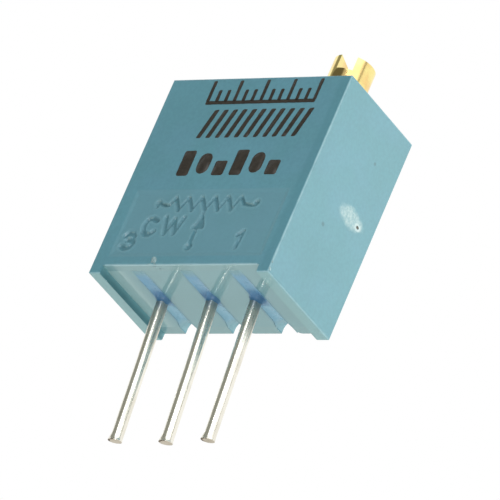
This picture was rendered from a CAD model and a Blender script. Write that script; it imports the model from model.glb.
import math
from collections import namedtuple

import bmesh
import bpy
from mathutils import Matrix, Vector, noise

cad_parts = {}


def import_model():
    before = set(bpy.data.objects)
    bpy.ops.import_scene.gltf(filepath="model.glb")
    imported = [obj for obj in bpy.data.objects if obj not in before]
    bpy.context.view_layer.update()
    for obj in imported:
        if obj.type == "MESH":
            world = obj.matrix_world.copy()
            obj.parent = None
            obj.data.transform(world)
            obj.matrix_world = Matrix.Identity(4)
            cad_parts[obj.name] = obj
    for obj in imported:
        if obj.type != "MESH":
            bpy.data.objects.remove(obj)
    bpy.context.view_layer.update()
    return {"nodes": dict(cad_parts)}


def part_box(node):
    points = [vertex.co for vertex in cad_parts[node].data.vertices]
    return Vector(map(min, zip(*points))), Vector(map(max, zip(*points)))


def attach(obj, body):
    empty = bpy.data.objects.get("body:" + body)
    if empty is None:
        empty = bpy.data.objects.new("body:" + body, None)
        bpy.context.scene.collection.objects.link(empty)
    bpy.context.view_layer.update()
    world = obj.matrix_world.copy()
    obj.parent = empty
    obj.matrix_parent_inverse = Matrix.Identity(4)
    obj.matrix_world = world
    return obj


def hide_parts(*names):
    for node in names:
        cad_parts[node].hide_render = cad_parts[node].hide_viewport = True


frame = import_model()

NODES = frame["nodes"]
MM = 0.001

# Sizes in mm. Those of the case come from the frame.
case_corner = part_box("housing")[1] / MM
HALF_WIDTH = round(case_corner.x, 3)
HALF_DEPTH = round(case_corner.y, 3)
CASE_TOP = round(case_corner.z, 3)
PITCH = 2.54
SLOT_HALF_WIDTH = 0.30
BASE_LEVEL = 0.378
FLOOR_LEVEL = -6.74

# Where each wire leaves the case, how far it leans, how long it is below its bend and how far it sways.
Wire = namedtuple("Wire", "node x lean length sway")
WIRES = (
    Wire("pin_3", x=-2.55, lean=5.3, length=7.32, sway=0.0),
    Wire("pin_2", x=0.065, lean=5.95, length=7.38, sway=0.03),
    Wire("pin_1", x=2.375, lean=4.65, length=7.25, sway=0.0),
)
WIRE_RADIUS = 0.258
BEND_LEVEL = 0.75
BEND_REACH = 0.35

TEAL = (0.090, 0.258, 0.317)
BLUE = (0.095, 0.262, 0.332)
# A radius so large that its direction doesn't count in Shader.near.
ANY = 999


# ---------------------------------------------------------------- materials
class Graph:
    """One node tree, filled by short calls."""

    def __init__(self, tree):
        self.tree = tree
        tree.nodes.clear()

    def node(self, kind, **settings):
        made = self.tree.nodes.new("ShaderNode" + kind)
        for key, value in settings.items():
            setattr(made, key, value)
        return made

    def put(self, socket, value):
        """Links a socket to another, or gives it a number, a colour or a vector."""
        if isinstance(value, bpy.types.NodeSocket):
            self.tree.links.new(value, socket)
        elif socket.type == "RGBA":
            socket.default_value = (*value, 1)
        else:
            socket.default_value = value

    def math(self, operation, a, b=0.0, c=0.0):
        made = self.node("Math", operation=operation)
        for socket, value in zip(made.inputs, (a, b, c)):
            self.put(socket, value)
        return made.outputs[0]

    def times(self, *factors):
        product = factors[0]
        for factor in factors[1:]:
            product = self.math("MULTIPLY", product, factor)
        return product

    def absolute(self, value):
        return self.math("ABSOLUTE", value)

    def span(self, value, a, b, low=0.0, high=1.0):
        """Maps value from a..b to low..high with soft ends."""
        made = self.node("MapRange", interpolation_type="SMOOTHSTEP")
        names = ("Value", "From Min", "From Max", "To Min", "To Max")
        for name, number in zip(names, (value, a, b, low, high)):
            self.put(made.inputs[name], number)
        return made.outputs["Result"]

    def split(self, vector):
        made = self.node("SeparateXYZ")
        self.put(made.inputs[0], vector)
        return made.outputs

    def mix(self, share, a, b, blend_type="MIX"):
        """Colour a with a share of colour b."""
        made = self.node("Mix", data_type="RGBA", blend_type=blend_type)
        self.put(made.inputs["Factor"], share)
        self.put(made.inputs[6], a)
        self.put(made.inputs[7], b)
        return made.outputs[2]


class Shader(Graph):
    """A material with one Principled shader, measured in mm of the frame."""

    def __init__(self, name, base=(0.8, 0.8, 0.8), rough=0.5, metallic=0.0, ior=None):
        self.mat = bpy.data.materials.new(name)
        self.mat.use_nodes = True
        super().__init__(self.mat.node_tree)
        self.main = self.node("BsdfPrincipled")
        self.put(self.node("OutputMaterial").inputs["Surface"], self.main.outputs[0])
        self.set("Base Color", base)
        self.set("Roughness", rough)
        self.set("Metallic", metallic)
        if ior:
            self.set("IOR", ior)
        coords = self.node("TexCoord")
        scaled = self.node("VectorMath", operation="SCALE")
        scaled.inputs["Scale"].default_value = 1 / MM
        self.put(scaled.inputs[0], coords.outputs["Object"])
        self.place = scaled.outputs[0]
        self.x, self.y, self.z = self.split(self.place)
        self.downward = self.span(self.split(coords.outputs["Normal"])[2], -0.6, -0.9)
        self.bumps = None

    def set(self, name, value):
        self.put(self.main.inputs[name], value)

    def noise(self, scale, detail=3.0, rough=0.5, stretch=(1, 1, 1), seed=0.0):
        """Noise with `scale` lumps a millimetre."""
        shifted = self.node("Mapping")
        shifted.inputs["Scale"].default_value = stretch
        shifted.inputs["Location"].default_value = (seed, seed * 0.7, seed * 1.3)
        self.put(shifted.inputs["Vector"], self.place)
        made = self.node("TexNoise")
        for name, value in (("Scale", scale), ("Detail", detail), ("Roughness", rough)):
            made.inputs[name].default_value = value
        self.put(made.inputs["Vector"], shifted.outputs[0])
        return made.outputs["Fac"]

    def ragged(self, value, amount, scale, seed, detail=3.0, rough=0.5):
        """The value shifted to and fro by noise, by up to half the amount either way."""
        shift = self.math("MULTIPLY_ADD", self.noise(scale, detail, rough, seed=seed), amount, -amount / 2)
        return self.math("ADD", value, shift)

    def near(self, centre, radii):
        """Distance from a centre in mm, in units of the radii."""
        value = self.place
        for operation, by in (("SUBTRACT", centre), ("DIVIDE", radii)):
            made = self.node("VectorMath", operation=operation)
            self.put(made.inputs[0], value)
            self.put(made.inputs[1], by)
            value = made.outputs[0]
        made = self.node("VectorMath", operation="LENGTH")
        self.put(made.inputs[0], value)
        return made.outputs["Value"]

    def bump(self, height, step):
        """Adds one layer of relief, in which a change of height from 0 to 1 is a step in mm."""
        made = self.node("Bump")
        made.inputs["Distance"].default_value = step * MM
        made.inputs["Strength"].default_value = 1.0
        self.put(made.inputs["Height"], height)
        if self.bumps:
            self.put(made.inputs["Normal"], self.bumps)
        self.bumps = made.outputs[0]
        self.set("Normal", self.bumps)

    def finish(self, tone, rough, *layers):
        """Links the tone and the roughness, adds the layers of relief and gives the material."""
        self.set("Base Color", tone)
        self.set("Roughness", rough)
        for height, step in layers:
            self.bump(height, step)
        return self.mat


def moulded(name):
    """Start of both moulded plastics: a cloudy tone with a fine grain."""
    s = Shader(name, rough=0.36, ior=1.54)
    tone = s.mix(s.span(s.noise(0.55), 0.36, 0.64), TEAL, BLUE)
    tone = s.mix(1.0, tone, s.span(s.noise(0.22, 2, seed=9), 0.3, 0.7, 0.97, 1.03), "MULTIPLY")
    tone = s.mix(1.0, tone, s.span(s.noise(7.0, 2, seed=3), 0.3, 0.7, 0.965, 1.035), "MULTIPLY")
    return s, tone


def base_plastic():
    """The underside: shiny and greyer, paler by the left foot and bluer in and beside the slots."""
    greyer, paler = (0.182, 0.322, 0.336), (0.270, 0.420, 0.425)
    bluer, darker = (0.15, 0.33, 0.48), (0.075, 0.200, 0.275)
    s, tone = moulded("base_plastic")
    tone = s.mix(s.times(s.downward, 0.75), tone, greyer)
    by_foot = s.times(s.span(s.x, -3.0, -3.8), s.downward)
    tone = s.mix(s.times(by_foot, 0.85), tone, paler)
    in_slots = s.times(s.span(s.z, 0.40, 0.50), s.span(s.z, 1.4, 1.2), s.span(s.y, 1.9, 1.5))
    tone = s.mix(s.times(in_slots, 0.7), tone, bluer)
    from_slot = s.math("SUBTRACT", s.math("PINGPONG", s.absolute(s.x), PITCH / 2), SLOT_HALF_WIDTH)
    from_slot = s.ragged(from_slot, 0.10, 2.0, 15)
    margin = s.times(s.span(from_slot, 0.20, 0.0), s.span(s.y, -2.0, -1.3))
    tone = s.mix(s.times(margin, 0.55), tone, darker)
    rough = s.span(s.noise(1.7, seed=5), 0.3, 0.7, 0.05, 0.10)
    return s.finish(tone, rough, (s.noise(1.3, 2, seed=7), 0.002), (s.noise(22.0, 2, seed=1), 0.0003))


def gate_mark(s, tone, on_side):
    """The whitish torn gate mark on the right side with its pit and pale rim, and two small specks."""
    whitish, rim_white = (0.52, 0.66, 0.66), (0.60, 0.72, 0.72)
    pit_black, speck_dark = (0.05, 0.055, 0.05), (0.045, 0.12, 0.15)
    torn = s.noise(9.0, 4, 0.65, seed=4)
    from_gate = s.near((HALF_WIDTH, 0.76, 4.95), (ANY, 0.86, 0.44))
    from_gate = s.ragged(from_gate, 0.7, 3.2, seed=2, detail=4, rough=0.6)
    scar = s.times(s.span(from_gate, 1.18, 0.62), on_side)
    tone = s.mix(s.times(scar, s.span(torn, 0.25, 0.75, 0.20, 0.62)), tone, whitish)
    from_pit = s.near((HALF_WIDTH, 1.34, 4.88), (ANY, 0.085, 0.06))
    rim = s.times(s.span(from_pit, 1.0, 1.5), s.span(from_pit, 3.2, 1.9), on_side)
    tone = s.mix(s.times(rim, 0.5), tone, rim_white)
    pit = s.times(s.span(from_pit, 1.25, 0.7), on_side)
    tone = s.mix(pit, tone, pit_black)
    for y, z, radius in ((-0.62, 3.68, 0.09), (0.81, 7.72, 0.07)):
        from_speck = s.near((HALF_WIDTH, y, z), (ANY, radius, radius))
        speck = s.times(s.span(from_speck, 1.5, 0.6), on_side)
        tone = s.mix(s.times(speck, 0.6), tone, speck_dark)
    s.bump(s.times(torn, scar), 0.03)
    s.bump(s.math("SUBTRACT", 1.0, pit), 0.06)
    return tone, scar


def front_tones(s, tone):
    """The marked panel, a darker strip beside the right edge, and the legend's grooves and rims."""
    panel_tone, strip_tone = (0.110, 0.262, 0.318), (0.052, 0.190, 0.235)
    groove_tone, rim_tone = (0.045, 0.115, 0.135), (0.26, 0.46, 0.50)
    inside = s.times(s.span(s.absolute(s.x), 4.06, 4.0), s.span(s.z, 0.78, 0.84), s.span(s.z, 4.22, 4.16))
    panel = s.times(inside, s.span(s.y, -2.40, -2.42))
    tone = s.mix(s.times(panel, 0.55), tone, panel_tone)
    strip = s.times(s.span(s.x, 4.12, 4.36), s.span(s.y, -2.42, -2.46))
    tone = s.mix(s.times(strip, 0.34), tone, strip_tone)
    sunk, rim, _ = s.split(s.node("Attribute", attribute_name="stain").outputs["Vector"])
    tone = s.mix(s.times(sunk, 0.33), tone, groove_tone)
    tone = s.mix(s.times(rim, 0.14), tone, rim_tone)
    return tone, panel


def under_tones(s, tone):
    """Inner walls of the feet, dark near the rim and paler towards the base, and the faces that look down."""
    wall_dark, wall_pale = (0.058, 0.180, 0.215), (0.135, 0.330, 0.375)
    lower_tone, lip_tone = (0.200, 0.365, 0.370), (0.172, 0.305, 0.325)
    wall = s.times(s.span(s.absolute(s.x), 4.25, 4.12), s.span(s.absolute(s.x), 3.90, 3.98))
    wall = s.times(wall, s.span(s.z, 0.45, 0.40), s.span(s.y, -2.44, -2.36))
    tone = s.mix(wall, tone, s.mix(s.span(s.z, 0.10, 0.38), wall_dark, wall_pale))
    tone = s.mix(s.times(s.downward, 0.75), tone, lower_tone)
    lip = s.times(s.downward, s.span(s.absolute(s.x), 4.08, 3.98))
    return s.mix(s.times(lip, 0.8), tone, lip_tone)


def edge_wear(s):
    """Mask along the outer edges of the case and its front lip, uneven as worn edges are."""
    side = s.math("SUBTRACT", HALF_WIDTH, s.absolute(s.x))
    face = s.math("SUBTRACT", HALF_DEPTH, s.absolute(s.y))
    end = s.math("MINIMUM", s.z, s.math("SUBTRACT", CASE_TOP, s.z))
    # An edge is near where the second nearest of the three planes is near.
    nearer, further = s.math("MINIMUM", side, face), s.math("MAXIMUM", side, face)
    to_edge = s.math("MAXIMUM", nearer, s.math("MINIMUM", further, end))
    beyond_feet = s.math("SUBTRACT", 1.0, s.span(s.absolute(s.x), 4.10, 4.00))
    to_lip = s.math("ADD", beyond_feet, s.near((0, -HALF_DEPTH, 0.38), (ANY, 1, 1)))
    return s.span(s.ragged(s.math("MINIMUM", to_edge, to_lip), 0.07, 1.6, 11), 0.095, 0.015)


def case_plastic():
    """The case: moulded plastic with a gate mark, a marked front, grey lower faces and worn edges."""
    chalky, worn_tone = (0.50, 0.42, 0.30), (0.36, 0.56, 0.60)
    s, tone = moulded("case_plastic")
    on_side = s.span(s.x, 4.70, 4.74)
    tone, scar = gate_mark(s, tone, on_side)
    tone = s.mix(s.times(on_side, 0.06), tone, chalky)
    tone, panel = front_tones(s, tone)
    tone = under_tones(s, tone)
    tone = s.mix(s.times(edge_wear(s), 0.60), tone, worn_tone)
    rough = s.span(s.noise(2.3, 4, seed=5), 0.3, 0.7, 0.31, 0.44)
    for mask, change in ((scar, 0.2), (panel, 0.1), (s.downward, -0.17)):
        rough = s.math("ADD", rough, s.times(mask, change))
    return s.finish(tone, rough, (s.noise(1.3, 2, seed=7), 0.004), (s.noise(22.0, 2, seed=1), 0.0012))


def slot_resin():
    """Clouded blue resin in the slots: paler behind, greyer at the thin ends, dark round each pin."""
    blue_dark, blue_pale, by_pin = (0.125, 0.287, 0.415), (0.150, 0.315, 0.440), (0.055, 0.150, 0.285)
    behind, front_end, back_end = (0.205, 0.395, 0.500), (0.165, 0.310, 0.340), (0.20, 0.36, 0.40)
    s = Shader("slot_resin", rough=0.34, ior=1.36)
    tone = s.mix(s.span(s.noise(1.4, seed=4), 0.35, 0.65), blue_dark, blue_pale)
    along = s.ragged(s.y, 0.5, 2.4, 12)
    tone = s.mix(s.span(along, 0.2, 0.7), tone, behind)
    tone = s.mix(s.span(along, -1.45, -2.0, 0.0, 0.9), tone, front_end)
    tone = s.mix(s.span(along, 1.5, 2.1, 0.0, 0.75), tone, back_end)
    for k, wire in enumerate(WIRES):
        from_pin = s.ragged(s.near((wire.x, -0.08, 0.3), (0.62, 0.62, ANY)), 0.3, 3.0, k)
        tone = s.mix(s.span(from_pin, 1.3, 0.3, 0.0, 0.9), tone, by_pin)
    rough = s.span(s.noise(2.5, seed=8), 0.3, 0.7, 0.26, 0.40)
    return s.finish(tone, rough, (s.noise(2.2, seed=6), 0.012))


def metal_ground(name, base, dark, rough, grain, scale, spread=0.10):
    """Start of every metal: tarnish in patches and a drawn or turned grain of `scale` lines a millimetre."""
    s = Shader(name, base, rough, 1.0)
    patch = s.noise(1.1, seed=2)
    lines = s.noise(scale, 3, 0.6, stretch=grain, seed=6)
    tone = s.mix(s.span(patch, 0.42, 0.72), base, dark)
    tone = s.mix(1.0, tone, s.span(lines, 0.3, 0.7, 0.94, 1.04), "MULTIPLY")
    dull = s.math("ADD", s.times(lines, 0.6), s.times(patch, 0.4))
    return s, tone, s.span(dull, 0.3, 0.7, rough - spread / 2, rough + spread), patch, lines


def metal(name, base, dark, rough, grain=(1, 1, 1), scale=6.0, relief=0.0015):
    s, tone, dull, _, lines = metal_ground(name, base, dark, rough, grain, scale)
    return s.finish(tone, dull, (lines, relief))


def tinned_wire():
    """Drawn wire, darker and duller towards the case and smeared with resin at its root."""
    root_tone, resin_tone = (0.54, 0.51, 0.45), (0.20, 0.29, 0.36)
    drawn_along = (0.09, 0.016, -0.996)
    s, tone, dull, patch, lines = metal_ground(
        "tinned_wire", (0.93, 0.92, 0.86), (0.84, 0.82, 0.74), 0.20, (1, 1, 0.12), 16.0)
    root = s.span(s.math("ADD", s.z, s.times(patch, 1.2)), -1.7, 0.9)
    tone = s.mix(root, tone, root_tone)
    smear = s.span(s.math("MULTIPLY_ADD", s.noise(2.5, seed=21), 0.3, s.z), -0.20, 0.30)
    tone = s.mix(s.times(smear, 0.7), tone, resin_tone)
    direction = s.node("CombineXYZ")
    for socket, value in zip(direction.inputs, drawn_along):
        s.put(socket, value)
    s.set("Tangent", direction.outputs[0])
    s.set("Anisotropic", 0.85)
    return s.finish(tone, s.math("ADD", dull, s.times(root, 0.12)), (lines, 0.0010))


def turned_brass():
    """Turned brass with one tarnished place on the head."""
    tarnished = (0.27, 0.19, 0.075)
    s, tone, dull, _, lines = metal_ground(
        "turned_brass", (1.0, 0.86, 0.36), (0.95, 0.66, 0.28), 0.09, (1, 1, 5), 9.0, spread=0.06)
    from_spot = s.ragged(s.near((3.67, -2.12, 10.20), (0.35, 0.32, 0.34)), 0.4, 4.0, 3)
    tone = s.mix(s.span(from_spot, 1.10, 0.85, 0.0, 0.75), tone, tarnished)
    return s.finish(tone, dull, (lines, 0.0015))


def plain(name, base, rough, speck, scale, relief):
    """Hidden or simple surface: mottled tone, varied gloss and a light relief."""
    s = Shader(name, base, rough)
    darker = tuple(v * (1 - speck) for v in base)
    tone = s.mix(s.span(s.noise(scale, 4, 0.6, seed=1), 0.3, 0.7), base, darker)
    gloss = s.span(s.noise(scale * 2.3, seed=5), 0.3, 0.7, rough * 0.85, rough * 1.15)
    return s.finish(tone, gloss, (s.noise(scale * 5, seed=8), relief))


CASE = case_plastic()
BASE = base_plastic()
RESIN = slot_resin()
TINNED = tinned_wire()
SHEARED = metal("sheared_wire", (0.60, 0.56, 0.48), (0.44, 0.40, 0.32), 0.52, (1, 5, 1), 14.0, 0.0040)
BURR = plain("burr_stain", (0.13, 0.085, 0.045), 0.55, 0.5, 14.0, 0.003)
BRASS = turned_brass()
INK = plain("print_ink", (0.030, 0.024, 0.018), 0.42, 0.5, 5.0, 0.004)
CHIP = plain("torn_plastic", (0.32, 0.50, 0.53), 0.6, 0.45, 9.0, 0.02)
SILVER = metal("fired_silver", (0.80, 0.79, 0.74), (0.70, 0.66, 0.56), 0.38)
SOLDER = metal("solder", (0.74, 0.74, 0.73), (0.62, 0.62, 0.60), 0.26, scale=3.0, relief=0.004)
GEAR = plain("gear_plastic", (0.78, 0.75, 0.64), 0.42, 0.05, 2.0, 0.003)
FINISH = {
    "base_plate": BASE,
    "adjusting_screw": BRASS,
    "pin_1": TINNED,
    "pin_2": TINNED,
    "pin_3": TINNED,
    "solder_1": SOLDER,
    "solder_2": SOLDER,
    "solder_3": SOLDER,
    "collector_film": SILVER,
    "end_film_1": SILVER,
    "end_film_3": SILVER,
    "worm_wheel": GEAR,
    "wiper_carrier": GEAR,
    "sealing_resin": plain("sealing_resin", (0.075, 0.16, 0.32), 0.28, 0.1, 0.8, 0.006),
    "ceramic_plate": plain("alumina", (0.86, 0.85, 0.80), 0.55, 0.04, 4.0, 0.003),
    "resistive_track": plain("cermet_film", (0.035, 0.032, 0.032), 0.55, 0.3, 8.0, 0.003),
    "screw_retainer": metal("spring_steel", (0.62, 0.62, 0.62), (0.52, 0.50, 0.48), 0.30, (1, 6, 1)),
    "o_ring": plain("silicone_rubber", (0.30, 0.045, 0.025), 0.55, 0.15, 5.0, 0.004),
    "wiper_spring": metal("wiper_alloy", (0.84, 0.70, 0.44), (0.76, 0.60, 0.36), 0.24, (6, 1, 1)),
}


# ------------------------------------------------------------------- pieces
def shade(ob, degrees):
    """Smooth shading, with a hard line at each edge sharper than this."""
    for face in ob.data.polygons:
        face.use_smooth = True
    bm = bmesh.new()
    bm.from_mesh(ob.data)
    for edge in bm.edges:
        edge.smooth = len(edge.link_faces) == 2 and edge.calc_face_angle(0) < math.radians(degrees)
    bm.to_mesh(ob.data)
    bm.free()


def new_object(name, bm, material, smooth_degrees):
    me = bpy.data.meshes.new(name)
    bmesh.ops.recalc_face_normals(bm, faces=bm.faces)
    bm.to_mesh(me)
    bm.free()
    ob = bpy.data.objects.new(name, me)
    bpy.context.scene.collection.objects.link(ob)
    me.materials.append(material)
    shade(ob, smooth_degrees)
    return ob


def bridge(bm, rows, closed=False, flip=False):
    """Joins neighbouring rows of vertices with four-sided faces, which it gives row by row."""
    made = []
    for a, b in zip(rows, rows[1:]):
        count = len(a) if closed else len(a) - 1
        band = []
        for k in range(count):
            after = (k + 1) % len(a)
            corners = (a[k], b[k], b[after], a[after]) if flip else (a[k], a[after], b[after], b[k])
            band.append(bm.faces.new(corners))
        made.append(band)
    return made


def smoothstep(t):
    t = min(1.0, max(0.0, t))
    return t * t * (3 - 2 * t)


def rough_circle(angle, spread, seed):
    """Noise that closes on itself after a full turn."""
    return noise.noise(Vector((math.cos(angle) * spread, math.sin(angle) * spread, seed)))


def to_segment(px, pz, a, b):
    ax, az, bx, bz = *a, *b
    dx, dz = bx - ax, bz - az
    along = ((px - ax) * dx + (pz - az) * dz) / max(1e-12, dx * dx + dz * dz)
    t = max(0.0, min(1.0, along))
    return math.hypot(px - ax - t * dx, pz - az - t * dz)


# The moulded legend on the front, as strokes of points and half a width, and as dots, all in mm.
TEETH = [(-1.80 + 0.69 * k, 3.79) for k in range(6)]
NOTCHES = [(-1.41 + 0.69 * k, 3.15) for k in range(5)]
ELEMENT_ENDS = [
    ([(-2.60, 3.35), (-2.62, 3.55), (-2.36, 3.47), (-2.15, 3.40), (-2.00, 3.43), TEETH[0]], 0.070),
    ([TEETH[5], (1.90, 3.45), (2.25, 3.38), (2.55, 3.36), (2.56, 3.52)], 0.070),
]
ELEMENT_TEETH = [([top, low], 0.085) for top, low in zip(TEETH, NOTCHES)]
ELEMENT_TEETH += [([low, top], 0.052) for low, top in zip(NOTCHES, TEETH[1:])]
WIPER_ARROW = [
    ([(-0.03, 3.12), (-0.05, 1.35)], 0.075),
    ([(0.04, 2.76), (-0.22, 2.29), (0.22, 2.31), (0.04, 2.76)], 0.085),
    ([(0.02, 2.58), (0.00, 2.34)], 0.13),
]
TURNING_DIRECTION = [
    ([(-2.28, 2.64), (-2.55, 2.77), (-2.77, 2.72), (-2.87, 2.42),
      (-2.81, 2.10), (-2.63, 1.95), (-2.42, 1.96), (-2.25, 2.10)], 0.100),
    ([(-1.88, 2.82), (-1.65, 1.98), (-1.38, 2.74), (-1.16, 1.98), (-0.92, 2.78)], 0.095),
]
END_NUMBERS = [
    ([(-3.64, 1.90), (-3.50, 2.03), (-3.25, 1.99), (-3.16, 1.85), (-3.27, 1.71), (-3.44, 1.69)], 0.115),
    ([(-3.27, 1.71), (-3.09, 1.54), (-3.18, 1.34), (-3.42, 1.27), (-3.65, 1.38)], 0.115),
    ([(2.30, 1.88), (2.52, 2.07), (2.45, 1.25)], 0.085),
]
STROKES = ELEMENT_ENDS + WIPER_ARROW + TURNING_DIRECTION + END_NUMBERS + ELEMENT_TEETH
DOTS = [(-2.62, 3.55, 0.16), (2.56, 3.50, 0.16), (-0.05, 1.33, 0.20)]
GROOVE_DEPTH = 0.090
RIM_HEIGHT = 0.016
RIM_MIDDLE = 0.045
RIM_SLOPE = 0.06


def legend_relief(px, pz):
    """How far a place of the panel lies in a groove and on the raised rim beside it, each 0 to 1.
    Each stroke or dot gives its distance, where its groove starts and how wide its slope is."""
    near = [(min(to_segment(px, pz, a, b) for a, b in zip(points, points[1:])), half * 1.3, half * 0.75)
            for points, half in STROKES]
    near += [(math.hypot(px - cx, pz - cz), r * 1.1, r * 0.5) for cx, cz, r in DOTS]
    groove = max(smoothstep((outer - distance) / slope) for distance, outer, slope in near)
    rim = max(smoothstep(1 - abs(distance - outer - RIM_MIDDLE) / RIM_SLOPE) for distance, outer, _ in near)
    return groove, rim * (1 - groove)


def take_out_panel(bm, front):
    """Deletes the floor and walls of the marked panel. Gives its ends in x, its ends in z and its depth."""
    slack = 1e-6
    least_depth, most_depth = 2e-5, 2e-4
    floor_faces = [f for f in bm.faces
                   if f.normal.y < -0.99 and least_depth < f.calc_center_median().y - front < most_depth]
    corners = [v.co for f in floor_faces for v in f.verts]
    x0, x1 = min(c.x for c in corners), max(c.x for c in corners)
    z0, z1 = min(c.z for c in corners), max(c.z for c in corners)
    depth = corners[0].y - front

    def in_panel(place):
        return (x0 - slack <= place.x <= x1 + slack and z0 - slack <= place.z <= z1 + slack
                and place.y < front + depth + slack)

    walls = [f for f in bm.faces
             if f not in floor_faces and abs(f.normal.y) < 0.5 and all(in_panel(v.co) for v in f.verts)]
    bmesh.ops.delete(bm, geom=floor_faces + walls, context="FACES")
    return x0, x1, z0, z1, depth


def case_shell():
    """The housing with its marked panel redrawn fine enough to carry the sunk legend."""
    cell = 0.040 * MM
    wall_run = 0.22
    ob = NODES["housing"].copy()
    ob.data = NODES["housing"].data.copy()
    ob.name = "case_shell"
    ob.parent = None
    bpy.context.scene.collection.objects.link(ob)
    bm = bmesh.new()
    bm.from_mesh(ob.data)
    bmesh.ops.remove_doubles(bm, verts=bm.verts, dist=1e-7)
    front = min(v.co.y for v in bm.verts)
    x0, x1, z0, z1, depth = take_out_panel(bm, front)
    stain = bm.verts.layers.float_color.new("stain")
    for v in bm.verts:
        v[stain] = (0, 0, 0, 1)
    columns, rows = round((x1 - x0) / cell), round((z1 - z0) / cell)
    grid = []
    for j in range(rows + 1):
        row = []
        for i in range(columns + 1):
            x, z = x0 + (x1 - x0) * i / columns, z0 + (z1 - z0) * j / rows
            to_wall = min(x - x0, x1 - x, z - z0, z1 - z) / MM
            sunk, rim = legend_relief(x / MM, z / MM)
            relief = (GROOVE_DEPTH * sunk - RIM_HEIGHT * rim) * MM
            v = bm.verts.new((x, front + depth * smoothstep(to_wall / wall_run) + relief, z))
            v[stain] = (sunk, rim, 0, 1)
            row.append(v)
        grid.append(row)
    bridge(bm, grid)
    bm.to_mesh(ob.data)
    bm.free()
    ob.data.materials.clear()
    ob.data.materials.append(CASE)
    shade(ob, 32)
    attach(ob, "case")
    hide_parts("housing")
    return ob


def slab(bm, outline, y_back, thick):
    """A thin prism on the front face from an outline in mm, with a slightly drawn-in outer face."""
    outer_scale = 0.985
    cx = sum(x for x, _ in outline) / len(outline)
    cz = sum(z for _, z in outline) / len(outline)
    y_front = (y_back - thick) * MM
    back = [bm.verts.new((x * MM, y_back * MM, z * MM)) for x, z in outline]
    front = [bm.verts.new(((cx + (x - cx) * outer_scale) * MM, y_front, (cz + (z - cz) * outer_scale) * MM))
             for x, z in outline]
    bm.faces.new(front)
    bridge(bm, (back, front), closed=True)


def rounded(x0, x1, z0, z1, r, lean, seed):
    """A rounded block that leans like slanted print, with the slightly uneven rim of pad-printed ink."""
    wobble = 0.012
    corners = ((x1 - r, z1 - r, 0), (x0 + r, z1 - r, 90), (x0 + r, z0 + r, 180), (x1 - r, z0 + r, 270))
    points = []
    for cx, cz, start in corners:
        for k in range(7):
            angle = math.radians(start + 15 * k)
            points.append((cx + r * math.cos(angle), cz + r * math.sin(angle)))
    out = []
    for k, (ax, az) in enumerate(points):
        bx, bz = points[(k + 1) % len(points)]
        steps = max(1, int(math.hypot(bx - ax, bz - az) / 0.08))
        for j in range(steps):
            x, z = ax + (bx - ax) * j / steps, az + (bz - az) * j / steps
            x += wobble * noise.noise(Vector((x * 7, z * 7, seed)))
            z += wobble * noise.noise(Vector((x * 7, z * 7, seed + 9)))
            out.append((x + lean * (z - z0), z))
    return out


def print_rows():
    """Three rows of plain marks where the real part is printed: ticks, slanted bars, blocks and rounds."""
    bm = bmesh.new()
    ink_back = -HALF_DEPTH + 0.0005
    ink_thick = 0.009

    def block(x0, x1, z0, z1, r=0.06, lean=0.0):
        slab(bm, rounded(x0, x1, z0, z1, r, lean, seed=x0 * 3 + z0), ink_back, ink_thick)

    def places(first, pitch, count):
        return [(k, first + pitch * k) for k in range(count)]

    # The bar and its ticks, of which every third is long.
    block(-2.45, 3.35, 8.52, 8.70)
    for k, x in places(-2.45, 0.47, 13):
        block(x, x + 0.17, 8.66, 9.74 if k % 3 == 0 else 9.26)
    # The slanted bars.
    for _, x in places(-2.15, 0.50, 11):
        block(x, x + 0.24, 6.80, 8.24, lean=0.28)
    # A tall block, a round and a low block, twice.
    for k, x in places(-2.35, 0.93, 6):
        if k % 3 == 1:
            block(x, x + 0.66, 4.98, 6.02, r=0.325)
        else:
            block(x, x + 0.62, 4.88, 6.16 if k % 3 == 0 else 5.62, r=0.10)
    ob = new_object("print_marks", bm, INK, 60)
    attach(ob, "case")
    return ob


def torn_edge():
    """Small whitish flakes and scratches at the lower front edge and at the lower right front corner."""
    skin = -2.472
    # Centre, half sizes and turn in degrees of each.
    flakes = (
        ((-1.49, skin, 0.64), (0.145, 0.028, 0.155), 0),
        ((-1.57, skin, 0.53), (0.055, 0.028, 0.05), 10),
        ((-1.40, skin, 0.52), (0.05, 0.028, 0.07), 0),
        ((-1.66, skin, 0.415), (0.12, 0.028, 0.022), 5),
        ((-1.36, skin, 0.412), (0.09, 0.028, 0.022), -25),
        ((-1.42, -2.34, BASE_LEVEL), (0.11, 0.03, 0.012), 0),
        ((-1.22, -2.20, BASE_LEVEL), (0.09, 0.02, 0.010), 0),
        ((4.725, -2.41, 0.20), (0.04, 0.05, 0.11), 0),
        ((4.72, -2.43, 0.52), (0.04, 0.04, 0.05), 0),
    )
    shear = 0.45
    bm = bmesh.new()
    for k, (centre, size, turn) in enumerate(flakes):
        part = bmesh.ops.create_icosphere(bm, subdivisions=3, radius=1)["verts"]
        c, s = math.cos(math.radians(turn)), math.sin(math.radians(turn))
        for v in part:
            v.co *= 1 + 0.25 * noise.fractal(v.co * 1.8 + Vector((k * 5, 0, 0)), 1.0, 2.0, 4)
            px, py, pz = (a * b for a, b in zip(v.co, size))
            v.co = (Vector(centre) + Vector((px * c - pz * (s + shear), py, px * s + pz * c))) * MM
    ob = new_object("torn_edge", bm, CHIP, 180)
    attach(ob, "case")
    return ob


def drift(lean, down):
    """How far a wire has gone sideways, `down` mm below its softly rounded bend."""
    return math.tan(math.radians(lean)) * (down - BEND_REACH * (1 - math.exp(-down / BEND_REACH)))


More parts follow.
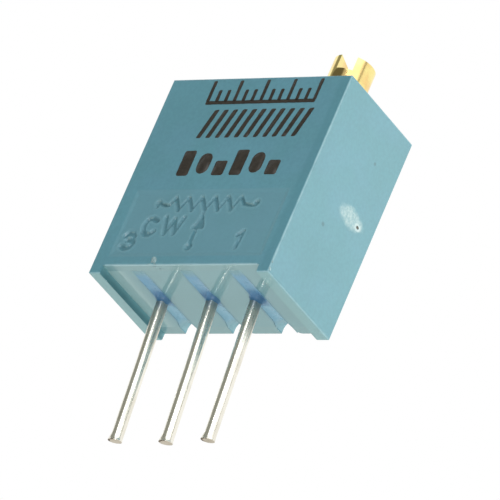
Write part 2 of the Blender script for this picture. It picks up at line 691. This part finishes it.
def tube(bm, path, sections, paint):
    """Skins a round tube on a path in mm. Each section is a radius, a flare to the left and a raggedness.
    paint gives the material number from the section, counted back from the tip, and the angle."""
    segments = 48
    rings = []
    count = len(path)
    for i, (place, (radius, flare, rag)) in enumerate(zip(path, sections)):
        ahead = (Vector(path[min(i + 1, count - 1)]) - Vector(path[max(i - 1, 0)])).normalized()
        side = Vector((1, 0, 0)) - ahead * ahead.x
        side.normalize()
        other = ahead.cross(side)
        ring = []
        for k in range(segments):
            angle = 2 * math.pi * k / segments
            r = radius * (1 + rag * rough_circle(angle, 2.2, i * 0.7 + place[0]))
            if math.cos(angle) < 0:
                r += flare * math.cos(angle) ** 2
            edge = Vector(place) + side * r * math.cos(angle) + other * r * math.sin(angle)
            ring.append(bm.verts.new(edge * MM))
        rings.append(ring)
    for i, band in enumerate(bridge(bm, rings, closed=True)):
        for k, face in enumerate(band):
            face.material_index = paint(i - count, 360 * (k + 0.5) / segments)
    bm.faces.new(rings[0])
    bm.faces.new(rings[-1]).material_index = paint(0, 0)


def wire_route(wire):
    """Path and sections of a wire: upright inside, leaning and swaying a little below, with a flared burr."""
    hidden = (0.25, 0, 0)
    backward_lean = 0.9
    flare_run = 0.36
    steps = 64
    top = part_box(wire.node)[1].z / MM
    path = [(wire.x, 0.0, z) for z in (top, top - 0.3, BEND_LEVEL + 0.1)]
    sections = [hidden] * 3
    for i in range(steps + 1):
        t = i / steps
        down = wire.length * t
        sway = wire.sway * math.sin(math.pi * min(1.0, t * 1.05)) * (1 - t)
        x, y = wire.x + drift(wire.lean, down) + sway, drift(backward_lean, down)
        path.append((x, y, BEND_LEVEL - down))
        grow = smoothstep(1 - (wire.length - down) / flare_run)
        uneven = 0.0015 * noise.noise(Vector((0, 0, down * 2 + wire.x)))
        sections.append((WIRE_RADIUS + uneven + 0.006 * grow, 0.090 * grow, 0.0))
    tip = Vector(path[-1])
    along = (tip - Vector(path[-4])).normalized()
    # A lip, a step inwards and the rough sheared face: distance past the tip, then the section.
    for beyond, *section in ((0.012, 0.274, 0.100, 0.03), (0.026, 0.268, 0.092, 0.04),
                             (0.030, 0.205, 0.065, 0.05), (0.044, 0.15, 0.03, 0.06), (0.052, 0.08, 0.0, 0.1)):
        path.append(tuple(tip + along * beyond))
        sections.append(section)
    return path, sections, tip


def wire_pin(wire):
    """Tinned wire pin, cut off at a slant with a burr."""
    path, sections, tip = wire_route(wire)
    lip = -4

    def paint(section, angle):
        """Tinned wire, sheared metal on the end face, and a stain along the front left of its rim."""
        if section < lip:
            return 0
        stained = section == lip and 62 < angle + 14 * math.sin(angle * 0.9 + wire.x) < 178
        return 2 if stained else 1

    bm = bmesh.new()
    tube(bm, path, sections, paint)
    # The cut is slanted: it rises towards the back and the left.
    for v in bm.verts:
        off = v.co / MM - tip
        v.co.z += MM * smoothstep((0.40 + off.z) / 0.36) * (0.17 * off.y - 0.10 * off.x)
    ob = new_object(wire.node + "_wire", bm, TINNED, 50)
    ob.data.materials.append(SHEARED)
    ob.data.materials.append(BURR)
    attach(ob, "case")
    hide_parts(wire.node)
    return ob


def slot_surface(bm, centre):
    """Lower face of the resin in one slot: flush in front, hollow and wider towards the mouth behind."""
    half_width = SLOT_HALF_WIDTH + 0.012
    rows, columns = 96, 20
    first, last = -2.05, 2.44
    grid = []
    for j in range(rows + 1):
        y = first + (last - first) * j / rows
        wide = min(1.0, max(0.0, (y - 1.62) / 0.45))
        left = centre - half_width - 0.168 * wide
        right = centre + half_width + 0.068 * wide
        depth = 0.004 + 0.045 * smoothstep((y + 1.9) / 1.2) + 0.12 * smoothstep((y - 0.2) / 1.6)
        depth += 0.365 * smoothstep((y - 1.55) / 0.85)
        squareness = 3 + 3 * smoothstep((y - 2.1) / 0.3)
        row = []
        for i in range(columns + 1):
            u = 2 * i / columns - 1
            u = math.copysign(1 - (1 - abs(u)) ** 1.5, u)
            x = (left + right) / 2 + (right - left) / 2 * u
            row.append(bm.verts.new((x * MM, y * MM, (BASE_LEVEL + depth * (1 - abs(u) ** squareness)) * MM)))
        grid.append(row)
    bridge(bm, grid, flip=True)


def resin_collar(bm, wire):
    """A fillet of resin from the slot down the wire, with an uneven lower rim."""
    rings, segments = 14, 40
    top = 0.45
    made = []
    for j in range(rings + 1):
        t = j / rings
        ring = []
        for k in range(segments):
            angle = 2 * math.pi * k / segments
            low = 0.15 + 0.07 * rough_circle(angle, 1.3, wire.x)
            z = low + (top - low) * t
            x = wire.x + drift(wire.lean, BEND_LEVEL - z) + (WIRE_RADIUS + 0.075 * t ** 1.3) * math.cos(angle)
            y = (0.255 + 0.36 * t ** 3) * math.sin(angle)
            ring.append(bm.verts.new((x * MM, y * MM, z * MM)))
        made.append(ring)
    bridge(bm, made, closed=True, flip=True)


def slot_fill():
    """Resin drawn into each slot, with a collar up each pin."""
    bm = bmesh.new()
    for centre, wire in zip((-PITCH, 0.0, PITCH), WIRES):
        slot_surface(bm, centre)
        resin_collar(bm, wire)
    ob = new_object("slot_resin", bm, RESIN, 60)
    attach(ob, "case")
    return ob


def dress_nodes():
    for node, material in FINISH.items():
        NODES[node].data.materials.clear()
        NODES[node].data.materials.append(material)


case_shell()
print_rows()
torn_edge()
slot_fill()
for wire in WIRES:
    wire_pin(wire)
dress_nodes()


# -------------------------------------------------------------------- stage
def world():
    """White to the camera, even grey light on the part, and a room with soft boxes in mirror images."""
    white, even_grey = (1.0, 1.0, 1.0), (0.60, 0.60, 0.60)
    cool_side, warm_side, bright_box = (1.12, 1.12, 1.08), (1.00, 0.98, 0.93), (1.55, 1.55, 1.50)
    gap_dark, room_dark = (0.24, 0.21, 0.18), (0.28, 0.28, 0.235)
    studio = bpy.data.worlds.new("studio")
    bpy.context.scene.world = studio
    studio.use_nodes = True
    g = Graph(studio.node_tree)
    px, py, pz = g.split(g.node("TexCoord").outputs["Generated"])
    heading = g.times(g.math("ARCTAN2", py, px), 180 / math.pi)
    # The unlit side of the room, to the front left and above the horizon.
    flat = g.math("SQRT", g.math("ADD", g.times(px, px), g.times(py, py)))
    aim = math.radians(-133.5)
    facing = g.math("ADD", g.times(px, math.cos(aim)), g.times(py, math.sin(aim)))
    facing = g.math("DIVIDE", facing, g.math("MAXIMUM", flat, 1e-4))
    outer, inner = math.cos(math.radians(43.5)), math.cos(math.radians(33.5))
    room = g.times(g.span(facing, outer, inner), g.span(pz, -0.62, -0.48))
    # Degrees across a narrow gap between the two soft boxes, which leans a little.
    across = g.math("SUBTRACT", heading, g.times(g.math("SUBTRACT", pz, 0.455), 92.0))
    gap = g.times(g.span(across, -9, -5), g.span(across, 5, 1), g.span(pz, 0.0, 0.1))
    # The first soft box is brighter than the rest of the room.
    box = g.times(g.span(across, -90, -72), g.span(across, -12, -22), g.span(pz, 0.0, 0.15))
    glossy = g.mix(g.span(across, -14, 6), cool_side, warm_side)
    glossy = g.mix(box, glossy, bright_box)
    glossy = g.mix(g.times(gap, 0.78), glossy, gap_dark)
    glossy = g.mix(room, glossy, room_dark)
    path = g.node("LightPath").outputs
    level = g.mix(path["Is Glossy Ray"], even_grey, glossy)
    seen = g.math("MAXIMUM", path["Is Camera Ray"], path["Is Transmission Ray"])
    level = g.mix(seen, level, white)
    sky = g.node("Background")
    g.put(sky.inputs["Color"], level)
    sky.inputs["Strength"].default_value = 1.0
    g.put(g.node("OutputWorld").inputs["Surface"], sky.outputs[0])


def floor():
    """A pale floor under the pin tips. It is clear from below, to lamps and in mirror images."""
    bm = bmesh.new()
    bmesh.ops.create_circle(bm, cap_ends=True, segments=96, radius=0.6)
    for v in bm.verts:
        v.co.z = FLOOR_LEVEL * MM
    me = bpy.data.meshes.new("floor")
    bm.to_mesh(me)
    bm.free()
    ob = bpy.data.objects.new("floor", me)
    bpy.context.scene.collection.objects.link(ob)
    material = bpy.data.materials.new("pale_floor")
    material.use_nodes = True
    g = Graph(material.node_tree)
    pale = g.node("BsdfDiffuse")
    pale.inputs["Color"].default_value = (0.90, 0.90, 0.90, 1)
    path = g.node("LightPath").outputs
    clear = g.math("MAXIMUM", g.node("NewGeometry").outputs["Backfacing"], path["Is Shadow Ray"])
    clear = g.math("MAXIMUM", clear, path["Is Glossy Ray"])
    mixed = g.node("MixShader")
    for socket, value in zip(mixed.inputs, (clear, pale.outputs[0], g.node("BsdfTransparent").outputs[0])):
        g.put(socket, value)
    g.put(g.node("OutputMaterial").inputs["Surface"], mixed.outputs[0])
    me.materials.append(material)


def lamp(name, heading, elevation, away, size, power, tint=(1, 1, 1), mirrored=False):
    """A round soft lamp aimed at the case. It lights, or it is only seen in mirror images."""
    aim = Vector((0, 0, 0.003))
    data = bpy.data.lights.new(name, "AREA")
    data.shape = "DISK"
    data.size = size
    data.energy = power
    data.color = tint
    ob = bpy.data.objects.new(name, data)
    h, e = math.radians(heading), math.radians(elevation)
    ob.location = Vector((math.cos(e) * math.cos(h), math.cos(e) * math.sin(h), math.sin(e))) * away + aim
    ob.rotation_euler = (aim - ob.location).to_track_quat("-Z", "Y").to_euler()
    bpy.context.scene.collection.objects.link(ob)
    ob.visible_glossy = mirrored
    ob.visible_diffuse = not mirrored
    ob.visible_camera = False
    return ob


def camera():
    """The view of the photograph, fitted to the corners of the case."""
    place = (0.20653, -0.209631, -0.147185)
    right = (0.78173, 0.51287, 0.35477)
    up = (0.00782, -0.57691, 0.81677)
    back = (0.62357, -0.63572, -0.45500)
    data = bpy.data.cameras.new("camera")
    data.sensor_width = 36
    data.lens = 577.04
    data.clip_start = 0.01
    data.clip_end = 10
    ob = bpy.data.objects.new("camera", data)
    turn = Matrix((right, up, back)).transposed().to_4x4()
    ob.matrix_world = Matrix.Translation(place) @ turn
    bpy.context.scene.collection.objects.link(ob)
    bpy.context.scene.camera = ob


world()
floor()
lamp("key", heading=-45, elevation=27, away=0.355, size=0.16, power=0.36)
lamp("right", heading=36, elevation=24, away=0.33, size=0.40, power=1.20, tint=(1.0, 0.93, 0.85))
lamp("below", heading=-60, elevation=-75, away=0.33, size=0.30, power=0.34)
lamp("streak", heading=-71, elevation=20, away=0.33, size=0.055, power=0.14, mirrored=True)
lamp("low_streak", heading=-68, elevation=-25, away=0.33, size=0.065, power=0.36, mirrored=True)
camera()
bpy.context.scene.view_settings.view_transform = "Standard"
